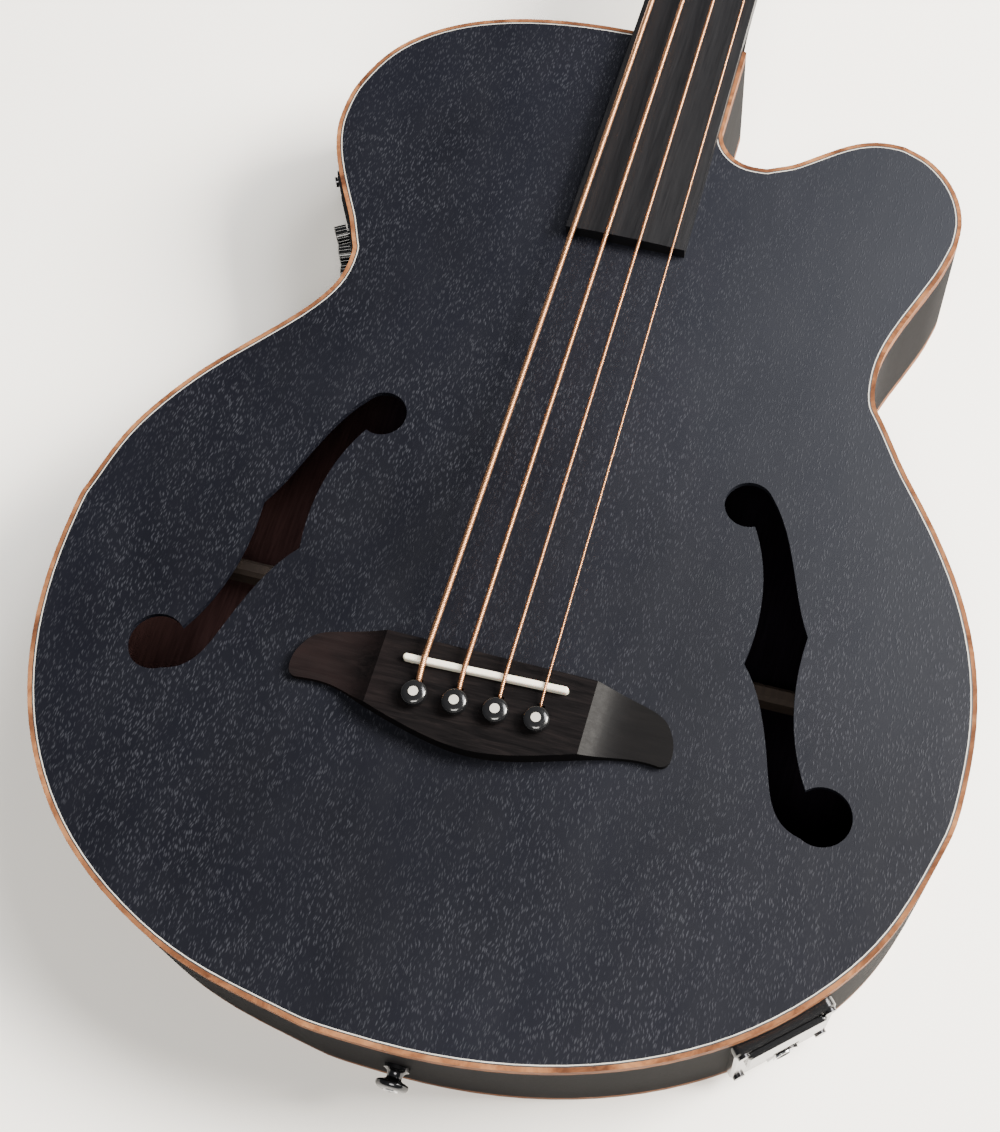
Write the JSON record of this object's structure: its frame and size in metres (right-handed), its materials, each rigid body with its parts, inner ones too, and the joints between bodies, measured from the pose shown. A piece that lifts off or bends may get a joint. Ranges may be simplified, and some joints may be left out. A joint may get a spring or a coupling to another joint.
{
  "type": "fretless acoustic bass guitar",
  "caption": "Fretless acoustic-electric bass guitar with a single cutaway, f-shaped sound holes, pin bridge, side preamp and battery drawer, lying on its back.",
  "frame": {"origin": "centre line of the back's resting face, straight below the saddle", "axes": "+Y up the neck towards the headstock, +X the treble side with the cutaway, +Z out of the top"},
  "size_m": [0.4086, 1.2232, 0.0869],
  "materials": {
    "black_open_pore_top": "satin black stain, open pores",
    "black_satin_wood": "satin",
    "tan_wood_binding": "satin clear coat",
    "black_plastic": "matte",
    "white_plastic": "satin",
    "pale_wood": "bare",
    "rosewood": "oiled",
    "bone": "polished",
    "black_gloss_plastic": "gloss",
    "brass": "satin",
    "dark_fingerboard_wood": "oiled",
    "steel": "satin",
    "black_plated_metal": "gloss black plating",
    "display_window": "gloss",
    "battery_case": "semi-gloss",
    "chrome": "polished",
    "lead_rubber": "matte",
    "bronze_wound_string": "round wound"
  },
  "bodies": {
    "instrument": {"back_binding": "tan_wood_binding", "back_braces": "pale_wood", "back_plate": "black_satin_wood", "bass_side": "black_satin_wood", "battery_bezel": "black_gloss_plastic", "battery_housing": "black_plastic", "bridge": "rosewood", "bridge_pins": "black_gloss_plastic", "bridge_plate": "pale_wood", "cutaway_side": "black_satin_wood", "fingerboard": "dark_fingerboard_wood", "headstock_screws": "black_plated_metal", "internal_leads": "lead_rubber", "jack_nut": "chrome", "linings": "pale_wood", "neck": "black_satin_wood", "neck_block": "pale_wood", "nut": "bone", "output_jack": "chrome", "panel_screws": "black_plated_metal", "piezo_pickup": "brass", "pin_dots": "white_plastic", "preamp_display": "display_window", "preamp_housing": "black_plastic", "preamp_panel": "black_plastic", "purfling_black": "black_plastic", "purfling_white": "white_plastic", "saddle": "bone", "side_dots": "white_plastic", "strap_buttons": "black_plated_metal", "strap_screws": "steel", "string_a": "bronze_wound_string", "string_d": "bronze_wound_string", "string_e": "bronze_wound_string", "string_g": "bronze_wound_string", "tail_block": "pale_wood", "top_binding": "tan_wood_binding", "top_braces": "pale_wood", "top_plate": "black_open_pore_top", "treble_side": "black_satin_wood", "truss_rod": "steel", "truss_rod_cover": "black_plastic", "tuner_bushings": "black_plated_metal", "tuner_plates": "black_plated_metal"},
    "knob_treble": {"knob_treble": "black_gloss_plastic"},
    "knob_middle": {"knob_middle": "black_gloss_plastic"},
    "knob_bass": {"knob_bass": "black_gloss_plastic"},
    "knob_volume": {"knob_volume": "black_gloss_plastic"},
    "phase_button": {"phase_button": "black_gloss_plastic"},
    "tuner_button": {"tuner_button": "black_gloss_plastic"},
    "battery_tray": {"battery_drawer": "black_gloss_plastic", "battery": "battery_case"},
    "key_e": {"tuner_key_e": "black_plated_metal"},
    "post_e": {"tuner_post_e": "black_plated_metal"},
    "key_a": {"tuner_key_a": "black_plated_metal"},
    "post_a": {"tuner_post_a": "black_plated_metal"},
    "key_d": {"tuner_key_d": "black_plated_metal"},
    "post_d": {"tuner_post_d": "black_plated_metal"},
    "key_g": {"tuner_key_g": "black_plated_metal"},
    "post_g": {"tuner_post_g": "black_plated_metal"}
  },
  "joints": [
    {"name": "knob_treble_turn", "type": "hinge", "parent": "instrument", "child": "knob_treble", "pos_m": [-0.13657, 0.21936, 0.048], "axis": [-0.867, -0.4983, 0], "range_deg": [-140, 140]},
    {"name": "knob_middle_turn", "type": "hinge", "parent": "instrument", "child": "knob_middle", "pos_m": [-0.1309, 0.20825, 0.048], "axis": [-0.92, -0.392, 0], "range_deg": [-140, 140]},
    {"name": "knob_bass_turn", "type": "hinge", "parent": "instrument", "child": "knob_bass", "pos_m": [-0.12615, 0.1972, 0.048], "axis": [-0.9678, -0.2519, 0], "range_deg": [-140, 140]},
    {"name": "knob_volume_turn", "type": "hinge", "parent": "instrument", "child": "knob_volume", "pos_m": [-0.14269, 0.23024, 0.026], "axis": [-0.8769, -0.4807, 0], "range_deg": [-140, 140]},
    {"name": "phase_button_press", "type": "slide", "parent": "instrument", "child": "phase_button", "axis": [0.8747, 0.4846, 0], "range_m": [0, 0.0012], "stiffness_N_per_m": 400},
    {"name": "tuner_button_press", "type": "slide", "parent": "instrument", "child": "tuner_button", "axis": [0.9216, 0.3882, 0], "range_m": [0, 0.0012], "stiffness_N_per_m": 400},
    {"name": "battery_drawer_slide", "type": "slide", "parent": "instrument", "child": "battery_tray", "axis": [0.671, -0.7415, 0], "range_m": [0, 0.045]},
    {"name": "tuner_key_e_turn", "type": "hinge", "parent": "instrument", "child": "key_e", "pos_m": [-0.025, 0.9272, 0.04002], "axis": [-1, 0, 0], "continuous": true},
    {"name": "tuner_post_e_turn", "type": "hinge", "parent": "instrument", "child": "post_e", "pos_m": [-0.025, 0.91824, 0.06232], "axis": [0, 0.1736, 0.9848], "continuous": true},
    {"name": "tuner_key_a_turn", "type": "hinge", "parent": "instrument", "child": "key_a", "pos_m": [-0.025, 1.00107, 0.027], "axis": [-1, 0, 0], "continuous": true},
    {"name": "tuner_post_a_turn", "type": "hinge", "parent": "instrument", "child": "post_a", "pos_m": [-0.025, 0.9921, 0.04929], "axis": [0, 0.1736, 0.9848], "continuous": true},
    {"name": "tuner_key_d_turn", "type": "hinge", "parent": "instrument", "child": "key_d", "pos_m": [0.025, 1.00107, 0.027], "axis": [1, 0, 0], "continuous": true},
    {"name": "tuner_post_d_turn", "type": "hinge", "parent": "instrument", "child": "post_d", "pos_m": [0.025, 0.9921, 0.04929], "axis": [0, 0.1736, 0.9848], "continuous": true},
    {"name": "tuner_key_g_turn", "type": "hinge", "parent": "instrument", "child": "key_g", "pos_m": [0.025, 0.9272, 0.04002], "axis": [1, 0, 0], "continuous": true},
    {"name": "tuner_post_g_turn", "type": "hinge", "parent": "instrument", "child": "post_g", "pos_m": [0.025, 0.91824, 0.06232], "axis": [0, 0.1736, 0.9848], "continuous": true}
  ],
  "couplings": [
    {"joint": "tuner_post_e_turn", "follows": "tuner_key_e_turn", "ratio": -0.05},
    {"joint": "tuner_post_a_turn", "follows": "tuner_key_a_turn", "ratio": -0.05},
    {"joint": "tuner_post_d_turn", "follows": "tuner_key_d_turn", "ratio": 0.05},
    {"joint": "tuner_post_g_turn", "follows": "tuner_key_g_turn", "ratio": 0.05}
  ]
}
